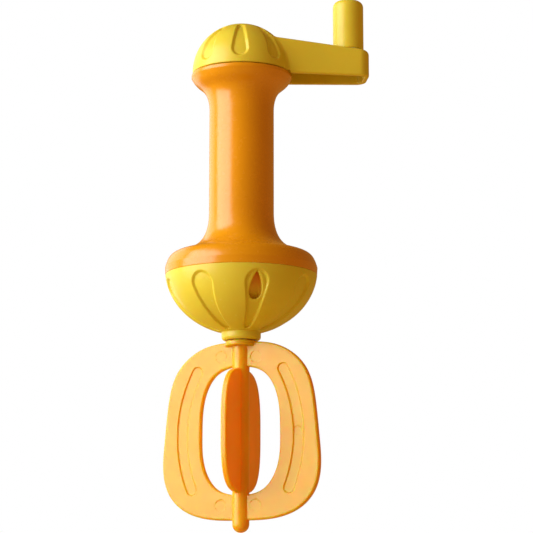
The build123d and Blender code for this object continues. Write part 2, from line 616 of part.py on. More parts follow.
# ---- whisk and the parts that turn with it ------------------------------------------------------------
def symmetric_face(points):
    """Face in the XZ plane inside a closed smooth curve, from the points of its right half."""
    left_half = [(-side, height) for side, height in reversed(points[1:-1])]
    return Plane.XZ * make_face(Spline(*points, *left_half, periodic=True))


def leaf_face():
    """Super-ellipse outline of the leaf blade, in (side, height)."""
    points = []
    for step in range(LEAF_STEPS):
        angle = 2 * pi * step / LEAF_STEPS
        side = cos(angle)
        rise = sin(angle)
        reach = (abs(side) ** LEAF_SQUARENESS + abs(rise) ** LEAF_SQUARENESS) ** (-1 / LEAF_SQUARENESS)
        points.append((LEAF_HALF_WIDTH * side * reach, LEAF_CENTRE_Z + LEAF_HALF_HEIGHT * rise * reach))
    return make_face(Spline(*points, periodic=True))


def ring_blade():
    """Flat ring in the XZ plane, with a groove along each limb on both faces."""
    plate = symmetric_face(RING_OUTLINE) - symmetric_face(OPENING_OUTLINE)
    ring = extrude(plate, BLADE_THICKNESS / 2, both=True)
    groove = SlotArc(ThreePointArc(*GROOVE_ARC), GROOVE_WIDTH)
    core = Box(CUT_REACH, BLADE_THICKNESS - 2 * GROOVE_DEPTH, 2 * CUT_REACH)
    for sketch in (groove, mirror(groove, about=Plane.YZ)):
        ring -= extrude(Plane.XZ * sketch, BLADE_THICKNESS, both=True) - core
    return ring


def whisk():
    """Shaft, journal, ring blade and leaf blade in one moulding."""
    ball_z = TIP_Z + WHISK_SHAFT_RADIUS
    body = Pos(0, 0, ball_z) * Sphere(WHISK_SHAFT_RADIUS)
    body += rod(WHISK_SHAFT_RADIUS, ball_z, WHISK_FLANGE_BOTTOM_Z)
    body += rod(WHISK_FLANGE_RADIUS, WHISK_FLANGE_BOTTOM_Z, WHISK_FLANGE_TOP_Z)
    journal = rod(JOURNAL_RADIUS, WHISK_FLANGE_TOP_Z, JOURNAL_TOP_Z)
    body += journal - tube(CLIP_RADIUS, CLIP_GROOVE_RADIUS, CLIP_BOTTOM_Z, CLIP_BOTTOM_Z + CLIP)
    body += flatted_rod(STUB_RADIUS, STUB_FLAT, JOURNAL_TOP_Z, SUN_TOP_Z)
    return body + ring_blade() + extrude(Plane.YZ * leaf_face(), BLADE_THICKNESS / 2, both=True)


def sun_gear():
    """Pinion that the planets turn, with a sleeve that stands on the journal's shoulder."""
    gear = Rot(0, 0, PLANET_PHASE) * pinion(SUN_TEETH, SUN_TOP_Z - PLANET_BOTTOM_Z)
    gear = Pos(0, 0, PLANET_BOTTOM_Z) * gear
    gear += rod(SUN_SLEEVE_RADIUS, JOURNAL_TOP_Z, PLANET_BOTTOM_Z)
    return gear - flatted_rod(STUB_RADIUS, STUB_FLAT, JOURNAL_TOP_Z, SUN_TOP_Z)


def journal_clip():
    """Open ring in the journal's groove, which keeps the whisk in the collar."""
    clip = tube(CLIP_RADIUS, CLIP_GROOVE_RADIUS, CLIP_BOTTOM_Z, CLIP_BOTTOM_Z + CLIP)
    return clip - Pos(CLIP_RADIUS, 0, CLIP_BOTTOM_Z) * Box(2 * CLIP_RADIUS, CLIP_MOUTH, 4 * CLIP)


# ---- the sub-parts, each with its own file ------------------------------------------------------------
turn = Rot(0, 0, CRANK_ANGLE)
nodes = {
    "handle_body": handle_body(),
    "top_bearing_plate": top_bearing_plate(),
    "upper_bush": upper_bush(),
    "thrust_washer": thrust_washer(),
    "gearbox_lid": gearbox_lid(),
    "lower_bush": lower_bush(),
    "ring_gear": ring_gear(),
    "housing_screws": Compound(housing_screws()),
    "bowl_housing": bowl_housing(),
    "neck_bush": neck_bush(),
    "crank": turn * crank(),
    "crank_screws": turn * Compound(crank_screws()),
    "drive_shaft": turn * drive_shaft(),
    "shaft_screw": shaft_screw(),
    "planet_carrier": planet_carrier(),
    "carrier_floor": carrier_floor(),
    "carrier_screws": Compound(carrier_screws()),
    "planet_pins": Compound(planet_pins()),
    "knob_pin": turn * knob_pin(),
    "knob_washer": turn * knob_washer(),
    "crank_knob": turn * crank_knob(),
    "whisk": whisk(),
    "sun_gear": sun_gear(),
    "journal_clip": journal_clip(),
}
for number, angle in enumerate(PLANET_ANGLES, start=1):
    nodes[f"planet_gear_{number}"] = planet_gear(angle)

os.makedirs("parts", exist_ok=True)
for name, shape in nodes.items():
    export_step(shape, f"parts/{name}.step")
    print(name, round(shape.volume, 1), len(shape.solids()))
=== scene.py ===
import json
from math import asin, atan, cos, hypot, pi, radians, sin, sqrt

import bpy
import numpy as np
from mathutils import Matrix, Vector


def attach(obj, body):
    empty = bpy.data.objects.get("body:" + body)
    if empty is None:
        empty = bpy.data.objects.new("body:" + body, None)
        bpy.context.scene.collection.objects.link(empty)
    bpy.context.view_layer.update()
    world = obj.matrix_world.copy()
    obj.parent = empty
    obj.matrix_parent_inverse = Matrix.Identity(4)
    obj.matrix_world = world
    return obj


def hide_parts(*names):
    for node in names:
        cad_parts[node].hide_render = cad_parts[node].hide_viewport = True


# Looks of the hand-cranked toy whisk. The five visible mouldings are made again here as fine meshes with soft
# edges, from signed distances: a field is negative inside the plastic, and skin() meshes its zero surface.
# The parts inside them keep their CAD meshes and get materials. Shapes are in millimetres, in the CAD frame.
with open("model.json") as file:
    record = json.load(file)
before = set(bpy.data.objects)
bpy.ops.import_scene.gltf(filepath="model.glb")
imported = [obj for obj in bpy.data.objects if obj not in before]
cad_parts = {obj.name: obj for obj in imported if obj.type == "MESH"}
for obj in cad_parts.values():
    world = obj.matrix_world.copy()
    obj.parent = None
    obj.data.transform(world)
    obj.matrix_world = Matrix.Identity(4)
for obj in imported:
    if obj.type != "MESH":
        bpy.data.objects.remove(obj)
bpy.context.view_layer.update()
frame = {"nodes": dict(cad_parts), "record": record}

# ---- sizes, the same as the CAD part's ----------------------------------------------------------------
MM = 0.001
TINY = 1e-9
STEP = 0.45      # width of a mesh cell

EDGE = 0.3                              # radius of an edge where nothing else is said
FINE_EDGE = 0.2
SHARP_EDGE = 0.1
BROAD_EDGE = 0.5
OVERCUT = 1.0                           # how far a cut runs past the face that it starts from

WALL = 2.2
PANEL_COUNT = 8
PANEL_DEPTH = 1.0
RUNNING = 0.06                          # clearance of a turning fit
SCREW_RADIUS = 1.3

GRIP_RADIUS = 15.65
UPPER_FLARE = [(GRIP_RADIUS, 25.0), (16.4, 31.0), (18.4, 35.0), (22.4, 38.6), (24.5, 41.6)]
LOWER_FLARE = [
    (GRIP_RADIUS, -25.0), (16.7, -33.6), (19.4, -39.1), (22.6, -42.0), (28.0, -44.3), (33.6, -46.5),
    (36.6, -52.5),
]
TOP_RIM_Z = 43.2
PLATE_SEAT_Z = 40.0
PLATE_RADIUS = 22.2
SEAM_Z = -55.9
SEAM_INSET = 0.2                        # the handle's lower edge draws in by this much
SEAM_ROUND = 0.4
RIM_ROUND = 0.7
HANDLE_SEGMENTS = 288

DOME_RADIUS = 24.0
DOME_BASE_Z = 43.65
DOME_CENTRE_Z = 44.65                   # centre of the ball, above a short straight skirt
DOME_PANEL_PHASE = -67.4
DOME_PANEL_ELEVATION = 35.0
DOME_PANEL_TOP = (2.2, 9.0)             # radius and place of a panel's narrow end, in its tangent plane
DOME_PANEL_FOOT = (4.5, -7.8)
DOME_PANEL_LIP = 1.8                    # width over which a panel reaches its depth
ARM_PANEL = 2                           # the panel that the arm takes the place of
CRANK_ANGLE = 29.0
ARM_LENGTH = 52.6
ARM_ROOT_HALF_WIDTH = 13.5
ARM_END_HALF_WIDTH = 9.6
ARM_END_REACH = 9.5                     # knob axis to the arm's flat end
ARM_CORNER = 5.0                        # upright corners of the arm's end
ARM_TOP_AT_KNOB = 56.5
ARM_SLOPE = 0.1                         # rise of the arm's top towards the dome
ARM_BOTTOM_Z = 42.25
ARM_WALL = 2.4
ARM_TOP_ROUND = 2.0
ARM_RIM_ROUND = 1.0                     # lower rim of the arm, and the corners of its cavity
ARM_ROOT_FILLET = 1.2
DOME_RIM_ROUND = 0.4
RIM_CLEAR_RADIUS = 25.3                 # the arm stops short of the handle's rim here
KNOB_PAD_RADIUS = 8.6
PIN_FLANGE_RADIUS = 6.0
PIN_SEAT_WALL = 1.6                     # thickness of the arm under the knob
KNOB_PIN_RADIUS = 3.5
SHAFT_FLANGE_TOP_Z = 51.0
FLANGE_SCREW_ORBIT = 9.5
FLANGE_SCREW_ANGLES = (60, 180, 300)
FLANGE_SCREW_TIP_Z = 58.0
CRANK_BOSS_RADIUS = 2.9

KNOB_RADIUS = 7.5
KNOB_BOTTOM_Z = 57.0
KNOB_TOP_Z = 82.0
KNOB_TOP_ROUND = 3.0
KNOB_BOTTOM_ROUND = 0.4
KNOB_BORE_OVERCUT = 5.0
BARB_RADIUS = 4.1
SNAP_GAP = 0.2                          # room around the barb
SNAP_DROP = 0.3                         # room under it
BARB_Z = 72.4
KNOB_BORE_TOP_Z = 76.0

BOWL_RADIUS = 36.6
BOWL_DEPTH = 31.6
BOWL_CENTRE_Z = -53.0
BOWL_PANEL_PHASE = -52.8
BOWL_PANEL_TOP = (6.0, -64.3)           # radius and height of a panel's wide end
BOWL_PANEL_FOOT = (2.6, -80.8)
BOWL_PANEL_LIP = 1.4
POCKET_HALF_WIDTH = 3.0                 # seed-shaped blind pockets in two opposite panels
POCKET_WIDEST_Z = -68.6
POCKET_TIP_Z = -59.3
POCKET_DEPTH = 4.0
POCKET_WALL = 1.4
POCKET_FLOOR_ROUND = 1.2
POCKET_RIM_ROUND = 0.7
COLLAR_RADIUS = 9.4
COLLAR_BOTTOM_Z = -87.5
COLLAR_CHAMFER = 1.0
COLLAR_ROUND = 0.4
BOWL_BOSS_TOP_Z = -76.1
SPIGOT_OUTER = 34.5
SPIGOT_INNER = 32.3
SPIGOT_HEIGHT = 2.9
LUG_ORBIT = 28.6
BOSS_RADIUS = 2.9
BOSS_TOP_Z = -63.6
HOUSING_SCREW_TIP_Z = -70.0
BUSH_WALL = 2.0
LUG_ANGLES = [BOWL_PANEL_PHASE + 360 / PANEL_COUNT * step for step in (0.5, 3.5, 5.5)]

TIP_Z = -178.45
WHISK_SHAFT_RADIUS = 4.05
WHISK_FLANGE_RADIUS = 7.6
WHISK_FLANGE_TOP_Z = -87.8
WHISK_FLANGE_BOTTOM_Z = -90.2
WHISK_FLANGE_ROUND = 0.7
JOURNAL_RADIUS = 5.2
JOURNAL_TOP_Z = -73.6
CLIP_GROOVE_RADIUS = 4.4
CLIP_BOTTOM_Z = -75.5
CLIP_HEIGHT = 0.8
STUB_RADIUS = 3.6
STUB_FLAT = 2.9
STUB_TOP_Z = -59.2
HALF_BLADE = 1.6                        # half the thickness of the ring and leaf blades
BLADE_ROUND = 0.9
BLADE_FILLET = 0.8                      # where the two blades cross
RING_HALF_SPAN = 41.0                   # a little more than the ring's half width
RING_CENTRE_Z = -130.0
RING_OUTLINE = [                        # right half of the ring blade's outer edge, from the top down
    (0, -88.2), (19.0, -90.3), (33.3, -101.5), (38.3, -118.7), (40.0, -135.0), (40.5, -149.5),
    (37.9, -159.0), (32.2, -165.9), (17.8, -171.8), (0, -172.7),
]
OPENING_OUTLINE = [                     # the same for the opening inside it
    (0, -100.0), (12.2, -103.2), (18.9, -114.0), (20.6, -131.0), (18.8, -148.4), (11.8, -158.2), (0, -160.8),
]
LEAF_HALF_WIDTH = 19.8
LEAF_HALF_HEIGHT = 29.4
LEAF_CENTRE_Z = -130.5
LEAF_SQUARENESS = 3.1
GROOVE_ARC = [(22.3, -101.9), (30.2, -135.0), (25.2, -157.9)]
GROOVE_HALF_WIDTH = 2.9
GROOVE_DEPTH = 0.5
GROOVE_LIP = 0.6
MARKS = [                               # side, height and radius of the round marks left by the mould's pins
    (-9.8, -95.2, 3.0), (8.4, -95.7, 3.0), (-9.9, -165.7, 3.0), (8.1, -165.7, 3.0), (29.7, -131.3, 2.2),
]
MARK_DEPTH = 0.15
MARK_LIP = 0.3


# ---- distances ----------------------------------------------------------------------------------------
def both(first, second, edge=EDGE):
    """What two fields share, with its outer edge rounded to this radius."""
    near_first = first + edge
    near_second = second + edge
    beyond = np.hypot(np.maximum(near_first, 0), np.maximum(near_second, 0))
    return np.minimum(np.maximum(near_first, near_second), 0) + beyond - edge


def either(first, second, crease=EDGE):
    """Two fields joined, with the inner corner between them filled to this radius."""
    return -both(-first, -second, crease)


def without(body, hollow, edge=EDGE):
    """A field with another one taken out of it."""
    return both(body, -hollow, edge)


def rod(x, y, z, radius, bottom, top, edge=EDGE):
    """Upright cylinder."""
    return both(np.hypot(x, y) - radius, np.maximum(bottom - z, z - top), edge)


def two_circles(side, rise, low, high):
    """Outline that two circles share. Each is a radius and a place along the rise."""
    span = high[1] - low[1]
    lean = (low[0] - high[0]) / span
    slant = sqrt(1 - lean * lean)
    side = np.abs(side)
    rise = rise - low[1]
    along = slant * rise - lean * side
    flank = slant * side + lean * rise - low[0]
    low_end = np.hypot(side, rise) - low[0]
    high_end = np.hypot(side, rise - span) - high[0]
    return np.where(along < 0, low_end, np.where(along > slant * span, high_end, flank))


def dished(distance, depth, lip):
    """Depth of a recess inside an outline, reached over the width of its lip."""
    inward = np.clip(-distance / lip, 0, 1)
    return depth * inward * inward * (3 - 2 * inward)


def folded(x, y, phase):
    """Outward and sideways place in the nearest of the repeated panels, and that panel's number."""
    sector = 2 * pi / PANEL_COUNT
    heading = np.arctan2(y, x) - radians(phase)
    number = np.round(heading / sector)
    offset = heading - number * sector
    reach = np.hypot(x, y)
    return reach * np.cos(offset), reach * np.sin(offset), number % PANEL_COUNT


def polar(radius, angle):
    """Point at a radius and an angle in degrees."""
    return radius * cos(radians(angle)), radius * sin(radians(angle))


def spline(points, start=None, end=None, per_span=16):
    """Points along the cubic spline through the given ones, with a set direction at either end."""
    knots = np.array(points, float)
    gaps = np.linalg.norm(np.diff(knots, axis=0), axis=1)
    last = len(knots) - 1
    system = np.eye(last + 1)
    slopes = np.zeros_like(knots)
    for index in range(1, last):
        before, after = gaps[index - 1], gaps[index]
        system[index, index - 1:index + 2] = after, 2 * (before + after), before
        back = (knots[index] - knots[index - 1]) * after / before
        ahead = (knots[index + 1] - knots[index]) * before / after
        slopes[index] = 3 * (back + ahead)
    for index, beside, direction in ((0, 1, start), (last, last - 1, end)):
        if direction is None:
            system[index, beside] = 0.5
            slopes[index] = 1.5 * (knots[beside] - knots[index]) / gaps[min(index, beside)]
            slopes[index] *= 1 if index < beside else -1
        else:
            slopes[index] = direction
    slopes = np.linalg.solve(system, slopes)
    line = [knots[0]]
    for index in range(last):
        for t in np.arange(1, per_span + 1) / per_span:
            ease = t * t * (3 - 2 * t)
            leave = t * (1 - t) * (1 - t) * gaps[index]
            arrive = t * t * (t - 1) * gaps[index]
            place = (1 - ease) * knots[index] + ease * knots[index + 1]
            line.append(place + leave * slopes[index] + arrive * slopes[index + 1])
    return np.array(line)


def outline(points, centre_z):
    """Distance to a closed curve given by its right half, measured along rays from its centre."""
    line = spline(points, start=(1, 0), end=(-1, 0))
    angles = np.arctan2(line[:, 0], line[:, 1] - centre_z)
    angles[-1] = pi
    reaches = np.hypot(line[:, 0], line[:, 1] - centre_z)
    slopes = np.gradient(np.log(reaches), angles)

    def distance(side, height):
        angle = np.arctan2(np.abs(side), height - centre_z)
        reach = np.hypot(side, height - centre_z)
        return (reach - np.interp(angle, angles, reaches)) / np.hypot(1, np.interp(angle, angles, slopes))

    return distance


def arc_distance(points):
    """Distance to an arc through three points."""
    first, middle, last = [complex(*point) for point in points]
    ratio = (last - first) / (middle - first)
    scale = (ratio - abs(ratio) ** 2) / (2j * ratio.imag)
    centre = first - (first - middle) * scale
    radius = abs(first - centre)
    turn = middle - centre
    ends = [np.angle((end - centre) / turn) for end in (first, last)]

    def distance(side, height):
        spot = (side + 1j * height - centre) / (turn / radius)
        angle = np.angle(spot)
        held = np.clip(angle, min(ends), max(ends))
        return np.abs(spot - radius * np.exp(1j * held))

    return distance


# ---- meshes -------------------------------------------------------------------------------------------
def gradient(field, points, probe=0.02):
    """Slope of a field at each point."""
    slopes = np.empty_like(points)
    for axis in range(3):
        offset = np.zeros(3)
        offset[axis] = probe
        ahead = field(*(points + offset).T)
        behind = field(*(points - offset).T)
        slopes[:, axis] = (ahead - behind) / (2 * probe)
    return slopes


def quads_across(inside, cells, axis):
    """Faces between the four cells round each grid edge along one axis where the field changes sign."""
    inside = np.moveaxis(inside, axis, 0)
    cells = np.moveaxis(cells, axis, 0)
    lower = inside[:-1, 1:-1, 1:-1]
    upper = inside[1:, 1:-1, 1:-1]
    i, j, k = np.nonzero(lower != upper)
    corners = [cells[i, j, k], cells[i, j + 1, k], cells[i, j + 1, k + 1], cells[i, j, k + 1]]
    quads = np.stack(corners, axis=1)
    forwards = lower[i, j, k] != (axis == 1)
    quads[~forwards] = quads[~forwards][:, ::-1]
    return quads


def skin(field, low, high, step=STEP, passes=4, least_steepness=0.05):
    """Vertices, faces and normals of a field's surface inside a box, each vertex drawn onto it in passes."""
    low = np.array(low, float) - 2 * step
    counts = np.ceil((np.array(high) + 2 * step - low) / step).astype(int) + 1
    lines = [low[axis] + step * np.arange(counts[axis]) for axis in range(3)]
    x, y, z = np.meshgrid(*lines, indexing="ij", sparse=True)
    inside = np.broadcast_to(field(x, y, z) < 0, counts)
    corners = sum(
        inside[a:counts[0] - 1 + a, b:counts[1] - 1 + b, c:counts[2] - 1 + c].astype(np.int8)
        for a in (0, 1) for b in (0, 1) for c in (0, 1)
    )
    crossed = (corners > 0) & (corners < 8)
    cells = np.full(crossed.shape, -1)
    cells[crossed] = np.arange(crossed.sum())
    faces = np.concatenate([quads_across(inside, cells, axis) for axis in range(3)])
    points = low + step * (np.argwhere(crossed) + 0.5)
    for _ in range(passes):
        slope = gradient(field, points)
        steepness = (slope * slope).sum(axis=1)
        shift = -slope * (field(*points.T) / np.maximum(steepness, least_steepness))[:, None]
        length = np.linalg.norm(shift, axis=1)
        points += shift * np.minimum(1, 0.5 * step / np.maximum(length, TINY))[:, None]
    return points, faces, gradient(field, points)


def lathe(profile, segments):
    """Vertices, faces and normals of a closed profile of (radius, height) points turned about the axis."""
    profile = np.array(profile)
    count = len(profile)
    along = np.roll(profile, -1, axis=0) - np.roll(profile, 1, axis=0)
    angles = 2 * pi * np.arange(segments) / segments
    ring = np.stack([np.cos(angles), np.sin(angles)], axis=1)
    points = np.empty((segments, count, 3))
    normals = np.empty((segments, count, 3))
    points[:, :, :2] = ring[:, None] * profile[:, 0][None, :, None]
    points[:, :, 2] = profile[:, 1]
    normals[:, :, :2] = ring[:, None] * along[:, 1][None, :, None]
    normals[:, :, 2] = -along[:, 0]
    here = np.arange(count)
    after = np.roll(here, -1)
    faces = []
    for turn in range(segments):
        start = turn * count
        beside = (turn + 1) % segments * count
        faces.append(np.stack([start + here, beside + here, beside + after, start + after], axis=1))
    return points.reshape(-1, 3), np.concatenate(faces), normals.reshape(-1, 3)


def piece(name, surface, body, cad_node, turn=0.0):
    """Blender object from a surface in millimetres, turned about the axis, that stands for one CAD node."""
    points, faces, normals = surface
    c, s = cos(radians(turn)), sin(radians(turn))
    rotation = np.array([[c, s, 0], [-s, c, 0], [0, 0, 1]])
    mesh = bpy.data.meshes.new(name)
    mesh.from_pydata((points @ rotation * MM).tolist(), [], faces.tolist())
    mesh.polygons.foreach_set("use_smooth", [True] * len(mesh.polygons))
    normals = normals @ rotation
    normals /= np.maximum(np.linalg.norm(normals, axis=1), TINY)[:, None]
    mesh.normals_split_custom_set_from_vertices(normals.tolist())
    made = bpy.data.objects.new(name, mesh)
    bpy.context.scene.collection.objects.link(made)
    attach(made, body)
    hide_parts(cad_node)
    print(name, len(mesh.polygons), "faces")
    return made


# ---- handle -------------------------------------------------------------------------------------------
def softened(before, corner, after, reach):
    """Short curve that takes the place of a corner between two neighbours."""
    before, corner, after = np.array(before), np.array(corner), np.array(after)
    start = corner + (before - corner) * reach / np.linalg.norm(before - corner)
    end = corner + (after - corner) * reach / np.linalg.norm(after - corner)
    steps = np.linspace(0, 1, 7)
    return [(1 - t) ** 2 * start + 2 * t * (1 - t) * corner + t * t * end for t in steps]


def inset(line, wall):
    """A line moved sideways by the wall, to the left of its direction when the wall is positive."""
    along = np.gradient(line, axis=0)
    along /= np.linalg.norm(along, axis=1)[:, None]
    return line + wall * np.stack([-along[:, 1], along[:, 0]], axis=1)


def handle_surface():
    """Waisted tube, flared at both ends, with a ledge for the bearing plate."""
    upper = spline(UPPER_FLARE, start=(0, 1))
    lower = spline(LOWER_FLARE, start=(0, -1))
    inner_upper = inset(upper, WALL)
    inner_upper = inner_upper[inner_upper[:, 1] < PLATE_SEAT_Z - OVERCUT]
    inner_lower = inset(lower, -WALL)
    foot = (BOWL_RADIUS - SEAM_INSET, SEAM_Z)
    inner_foot = (inner_lower[-1][0], SEAM_Z)
    rim = (upper[-1][0], TOP_RIM_Z)
    inner_rim = (PLATE_RADIUS, TOP_RIM_Z)
    ledge = (PLATE_RADIUS, PLATE_SEAT_Z)
    profile = [
        *softened(inner_foot, foot, lower[-1], SEAM_ROUND),
        *lower[::-1],
        *upper,
        *softened(upper[-1], rim, inner_rim, RIM_ROUND),
        *softened(rim, inner_rim, ledge, EDGE),
        ledge,
        (inner_upper[-1][0], PLATE_SEAT_Z),
        *inner_upper[::-1],
        *inner_lower,
        *softened(inner_lower[-1], inner_foot, foot, FINE_EDGE),
    ]
    return lathe(profile, HANDLE_SEGMENTS)


# ---- crank --------------------------------------------------------------------------------------------
def dome_panels(x, y, z):
    """Depth of the teardrop panels pressed into the dome."""
    outward, side, number = folded(x, y, DOME_PANEL_PHASE - CRANK_ANGLE)
    tilt = radians(DOME_PANEL_ELEVATION)
    rise = (z - DOME_CENTRE_Z) * cos(tilt) - outward * sin(tilt)
    facing = (z - DOME_CENTRE_Z) * sin(tilt) + outward * cos(tilt)
    teardrop = two_circles(side, rise, DOME_PANEL_FOOT, DOME_PANEL_TOP)
    depth = dished(teardrop, PANEL_DEPTH, DOME_PANEL_LIP)
    return np.where((number != ARM_PANEL) & (facing > 0), depth, 0)


def arm_form(x, y, z, inward, edge):
    """Tapered arm with rounded corners and a sloping top, or the same form moved inwards."""
    span = ARM_LENGTH + ARM_END_REACH - ARM_CORNER
    across = ARM_END_HALF_WIDTH - ARM_CORNER
    taper = asin((ARM_ROOT_HALF_WIDTH - ARM_CORNER) / hypot(span, across)) - atan(across / span)
    flank = np.abs(y) * cos(taper) + x * sin(taper) - ARM_ROOT_HALF_WIDTH
    front = both(flank, x - span - ARM_CORNER, ARM_CORNER)
    plan = np.where(x < 0, np.hypot(x, y) - ARM_ROOT_HALF_WIDTH, front) + inward
    top = ARM_TOP_AT_KNOB + ARM_SLOPE * (ARM_LENGTH - x)
    return both(plan, (z - top) * cos(atan(ARM_SLOPE)) + inward, edge)


def crank_field(x, y, z):
    """Dome and hollow arm, with the arm along +X."""
    ball = np.sqrt(x * x + y * y + np.maximum(z - DOME_CENTRE_Z, 0) ** 2) - DOME_RADIUS
    reach = np.hypot(x, y)
    dome = both(ball + dome_panels(x, y, z), DOME_BASE_Z - z, BROAD_EDGE)
    arm = both(arm_form(x, y, z, 0, ARM_TOP_ROUND), ARM_BOTTOM_Z - z, ARM_RIM_ROUND)
    arm = without(arm, both(reach - RIM_CLEAR_RADIUS, z - DOME_BASE_Z, 0), FINE_EDGE)
    body = either(dome, arm, ARM_ROOT_FILLET)
    room = both(ball + WALL, DOME_BASE_Z - OVERCUT - z, 0)
    cavity = both(arm_form(x, y, z, ARM_WALL, ARM_RIM_ROUND), DOME_RADIUS - WALL / 2 - reach, BROAD_EDGE)
    body = without(without(body, room, DOME_RIM_ROUND), cavity, BROAD_EDGE)
    for angle in FLANGE_SCREW_ANGLES:
        across, along = polar(FLANGE_SCREW_ORBIT, angle)
        boss = rod(x - across, y - along, z, CRANK_BOSS_RADIUS, SHAFT_FLANGE_TOP_Z, KNOB_TOP_Z)
        body = either(body, both(boss, ball + WALL / 2, 0))
        hole = rod(x - across, y - along, z, SCREW_RADIUS, DOME_BASE_Z, FLANGE_SCREW_TIP_Z)
        body = without(body, hole)
    seat = rod(x - ARM_LENGTH, y, z, KNOB_PAD_RADIUS, ARM_TOP_AT_KNOB, KNOB_TOP_Z)
    recess = rod(x - ARM_LENGTH, y, z, PIN_FLANGE_RADIUS, ARM_BOTTOM_Z, ARM_TOP_AT_KNOB - PIN_SEAT_WALL)
    hole = rod(x - ARM_LENGTH, y, z, KNOB_PIN_RADIUS, ARM_BOTTOM_Z, KNOB_TOP_Z)
    return without(without(without(body, seat, FINE_EDGE), recess, FINE_EDGE), hole, SHARP_EDGE)


def knob_field(x, y, z):
    """Round knob with a blind bore, which widens where it clips over the pin."""
    x = x - ARM_LENGTH
    side = np.hypot(x, y) - KNOB_RADIUS
    knob = both(both(side, z - KNOB_TOP_Z, KNOB_TOP_ROUND), KNOB_BOTTOM_Z - z, KNOB_BOTTOM_ROUND)
    bore = rod(x, y, z, KNOB_PIN_RADIUS + RUNNING, KNOB_BOTTOM_Z - KNOB_BORE_OVERCUT, BARB_Z)
    catch = rod(x, y, z, BARB_RADIUS + SNAP_GAP, BARB_Z - SNAP_DROP, KNOB_BORE_TOP_Z)
    return without(without(knob, bore, FINE_EDGE), catch, SHARP_EDGE)


# ---- bowl ---------------------------------------------------------------------------------------------
def ellipsoid(x, y, z):
    """The bowl's outer form."""
    flat = x * x + y * y
    rise = (z - BOWL_CENTRE_Z) ** 2
    scaled = np.sqrt(flat / BOWL_RADIUS ** 2 + rise / BOWL_DEPTH ** 2)
    slope = np.sqrt(flat / BOWL_RADIUS ** 4 + rise / BOWL_DEPTH ** 4)
    return scaled * (scaled - 1) / np.maximum(slope, TINY)


def collar(x, y, z):
    """Neck under the bowl, with a chamfered lower edge, which goes on inside as the bush's seat."""
    reach = np.hypot(x, y)
    neck = rod(x, y, z, COLLAR_RADIUS, COLLAR_BOTTOM_Z, BOWL_BOSS_TOP_Z)
    chamfer = (reach - COLLAR_RADIUS - (z - COLLAR_BOTTOM_Z) + COLLAR_CHAMFER) / sqrt(2)
    return both(neck, chamfer, COLLAR_ROUND)


def pocket_outline(side, z):
    """Seed shape: a pointed arch over a half circle."""
    side = np.abs(side)
    rise = z - POCKET_WIDEST_Z
    height = POCKET_TIP_Z - POCKET_WIDEST_Z
    arch = (height ** 2 + POCKET_HALF_WIDTH ** 2) / (2 * POCKET_HALF_WIDTH)
    above = np.hypot(side + arch - POCKET_HALF_WIDTH, rise) - arch
    return np.where(rise > 0, above, np.hypot(side, rise) - POCKET_HALF_WIDTH)


def bowl_field(x, y, z):
    """Gear housing with dished panels, two of them pocketed, and its screw bosses inside."""
    form = ellipsoid(x, y, z)
    _, side, number = folded(x, y, BOWL_PANEL_PHASE)
    panel = two_circles(side, z, BOWL_PANEL_FOOT, BOWL_PANEL_TOP)
    body = form + dished(panel, PANEL_DEPTH, BOWL_PANEL_LIP)
    body = without(both(body, z - SEAM_Z), form + WALL)
    body = either(body, collar(x, y, z), BROAD_EDGE)
    for angle in LUG_ANGLES:
        across, along = polar(LUG_ORBIT, angle)
        boss = rod(x - across, y - along, z, BOSS_RADIUS, COLLAR_BOTTOM_Z, BOSS_TOP_Z)
        hole = rod(x - across, y - along, z, SCREW_RADIUS, HOUSING_SCREW_TIP_Z, BOSS_TOP_Z + OVERCUT)
        body = without(either(body, both(boss, form + PANEL_DEPTH, 0)), hole, FINE_EDGE)
    reach = np.hypot(x, y)
    spigot = np.maximum(reach - SPIGOT_OUTER, SPIGOT_INNER - reach)
    spigot = both(spigot, np.abs(z - SEAM_Z) - SPIGOT_HEIGHT, FINE_EDGE)
    body = either(body, both(spigot, form, 0))
    seed = np.where(number % (PANEL_COUNT // 2) == 0, pocket_outline(side, z), BOWL_RADIUS)
    pad = np.maximum(form + PANEL_DEPTH, -form - POCKET_DEPTH - POCKET_WALL)
    body = either(body, both(seed - POCKET_WALL, pad, 0))
    body = without(body, both(seed, -form - POCKET_DEPTH, POCKET_FLOOR_ROUND), POCKET_RIM_ROUND)
    bore_radius = JOURNAL_RADIUS + RUNNING + BUSH_WALL
    bore = rod(x, y, z, bore_radius, COLLAR_BOTTOM_Z - OVERCUT, BOWL_BOSS_TOP_Z + OVERCUT)
    return without(body, bore, FINE_EDGE)


# ---- whisk --------------------------------------------------------------------------------------------
ring_edge = outline(RING_OUTLINE, RING_CENTRE_Z)
opening_edge = outline(OPENING_OUTLINE, RING_CENTRE_Z)
groove_line = arc_distance(GROOVE_ARC)


def ring_blade(x, y, z):
    """Flat ring in the XZ plane, with a groove along each limb and the mould's pin marks."""
    plan = np.maximum(ring_edge(x, z), -opening_edge(x, z))
    sunk = dished(groove_line(np.abs(x), z) - GROOVE_HALF_WIDTH, GROOVE_DEPTH, GROOVE_LIP)
    for side, height, radius in MARKS:
        sunk = sunk + dished(np.hypot(x - side, z - height) - radius, MARK_DEPTH, MARK_LIP)
    return both(plan, np.abs(y) - HALF_BLADE + sunk, BLADE_ROUND)


def leaf_blade(x, y, z):
    """Flat rounded blade in the YZ plane."""
    side = np.abs(y) / LEAF_HALF_WIDTH
    rise = np.abs(z - LEAF_CENTRE_Z) / LEAF_HALF_HEIGHT
    power = LEAF_SQUARENESS
    size = (side ** power + rise ** power) ** (1 / power) + TINY
    across = (side / size) ** (power - 1) / LEAF_HALF_WIDTH
    upward = (rise / size) ** (power - 1) / LEAF_HALF_HEIGHT
    return both((size - 1) / (np.hypot(across, upward) + TINY), np.abs(x) - HALF_BLADE, BLADE_ROUND)


